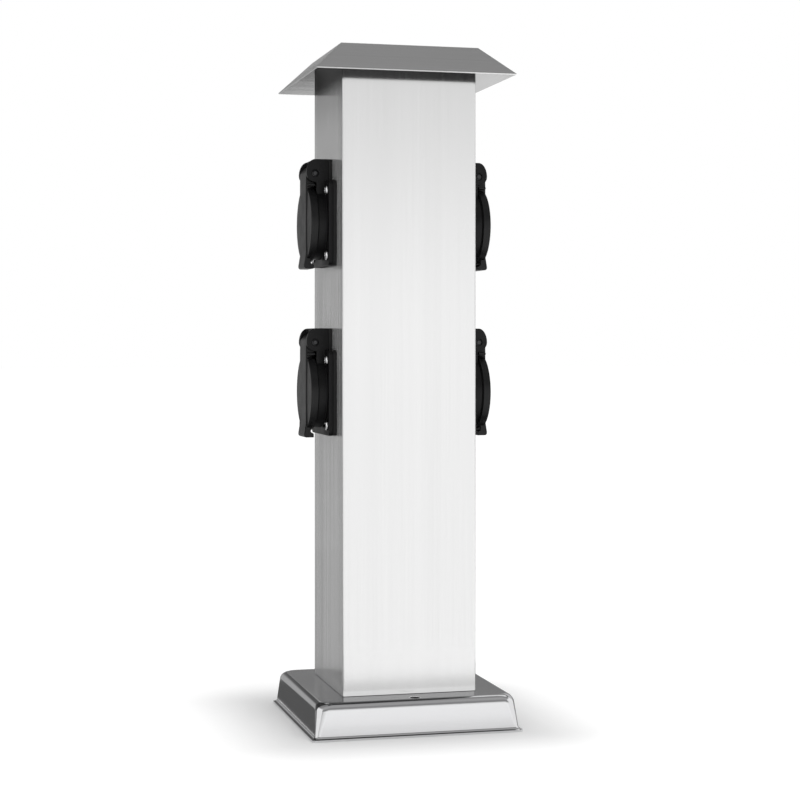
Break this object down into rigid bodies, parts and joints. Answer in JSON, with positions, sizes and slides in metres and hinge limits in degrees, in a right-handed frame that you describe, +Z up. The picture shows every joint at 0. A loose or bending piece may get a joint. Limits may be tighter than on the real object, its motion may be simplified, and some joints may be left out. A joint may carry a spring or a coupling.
{
  "type": "garden socket post",
  "caption": "Square brushed-steel garden power post with a sheet roof, a pressed base and lidded earthed sockets on its left and right faces.",
  "frame": {"origin": "centre of the base's footprint, on the ground", "axes": "+Z up along the post, -Y towards the bare front face, sockets on the -X and +X faces"},
  "size_m": [0.124, 0.124, 0.3966],
  "materials": {
    "post_steel": "brushed along its length",
    "roof_steel": "brushed along each slope",
    "base_steel": "brushed along each side",
    "bracket_steel": "satin zinc-plated",
    "screw_steel": "bright",
    "zinc_steel": "zinc-plated",
    "pin_steel": "blackened",
    "spring_steel": "drawn wire",
    "brass": "bright",
    "spring_brass": "nickel-plated",
    "tinned_copper": "tinned",
    "black_plastic": "satin black moulding",
    "lid_plastic": "satin black moulding",
    "insert_plastic": "matt black",
    "rubber": "matt black",
    "ivory_plastic": "matt ivory",
    "brown_insulation": "smooth",
    "blue_insulation": "smooth",
    "green_insulation": "smooth"
  },
  "bodies": {
    "root": {"post_tube": "post_steel", "roof_cap": "roof_steel", "roof_bracket": "bracket_steel", "roof_screws": "screw_steel", "base_cover": "base_steel", "foot_bracket": "bracket_steel", "base_screws": "screw_steel", "base_nuts": "zinc_steel", "earth_screw": "brass", "earth_lug": "tinned_copper", "gland_body": "black_plastic", "gland_ring": "rubber", "gland_seal": "rubber", "gland_cap": "black_plastic", "gland_locknut": "black_plastic", "terminal_block": "ivory_plastic", "block_clamps": "brass", "block_screws": "zinc_steel", "wire_live": "brown_insulation", "wire_neutral": "blue_insulation", "wire_earth": "green_insulation", "flange_screws": "screw_steel", "flange_nuts": "zinc_steel", "terminal_screws": "zinc_steel", "gasket_left_upper": "rubber", "gasket_left_lower": "rubber", "gasket_right_upper": "rubber", "gasket_right_lower": "rubber", "housing_left_upper": "black_plastic", "housing_left_lower": "black_plastic", "housing_right_upper": "black_plastic", "housing_right_lower": "black_plastic", "insert_left_upper": "insert_plastic", "insert_left_lower": "insert_plastic", "insert_right_upper": "insert_plastic", "insert_right_lower": "insert_plastic", "contacts_left_upper": "brass", "contacts_left_lower": "brass", "contacts_right_upper": "brass", "contacts_right_lower": "brass", "earth_clip_left_upper": "spring_brass", "earth_clip_left_lower": "spring_brass", "earth_clip_right_upper": "spring_brass", "earth_clip_right_lower": "spring_brass", "hinge_pin_left_upper": "pin_steel", "hinge_pin_left_lower": "pin_steel", "hinge_pin_right_upper": "pin_steel", "hinge_pin_right_lower": "pin_steel", "lid_spring_left_upper": "spring_steel", "lid_spring_left_lower": "spring_steel", "lid_spring_right_upper": "spring_steel", "lid_spring_right_lower": "spring_steel"},
    "lid_left_upper": {"lid_left_upper": "lid_plastic", "lid_seal_left_upper": "rubber"},
    "lid_left_lower": {"lid_left_lower": "lid_plastic", "lid_seal_left_lower": "rubber"},
    "lid_right_upper": {"lid_right_upper": "lid_plastic", "lid_seal_right_upper": "rubber"},
    "lid_right_lower": {"lid_right_lower": "lid_plastic", "lid_seal_right_lower": "rubber"}
  },
  "joints": [
    {"name": "lid_hinge_left_upper", "type": "hinge", "parent": "root", "child": "lid_left_upper", "pos_m": [-0.0501, 0, 0.324], "axis": [0, 1, 0], "range_deg": [0, 110], "stiffness_Nm_per_rad": 0.008, "springref_deg": -34.38, "deforming": ["lid_spring_left_upper"]},
    {"name": "lid_hinge_left_lower", "type": "hinge", "parent": "root", "child": "lid_left_lower", "pos_m": [-0.0501, 0, 0.2245], "axis": [0, 1, 0], "range_deg": [0, 110], "stiffness_Nm_per_rad": 0.008, "springref_deg": -34.38, "deforming": ["lid_spring_left_lower"]},
    {"name": "lid_hinge_right_upper", "type": "hinge", "parent": "root", "child": "lid_right_upper", "pos_m": [0.0501, 0, 0.324], "axis": [0, -1, 0], "range_deg": [0, 110], "stiffness_Nm_per_rad": 0.008, "springref_deg": -34.38, "deforming": ["lid_spring_right_upper"]},
    {"name": "lid_hinge_right_lower", "type": "hinge", "parent": "root", "child": "lid_right_lower", "pos_m": [0.0501, 0, 0.2245], "axis": [0, -1, 0], "range_deg": [0, 110], "stiffness_Nm_per_rad": 0.008, "springref_deg": -34.38, "deforming": ["lid_spring_right_lower"]}
  ]
}
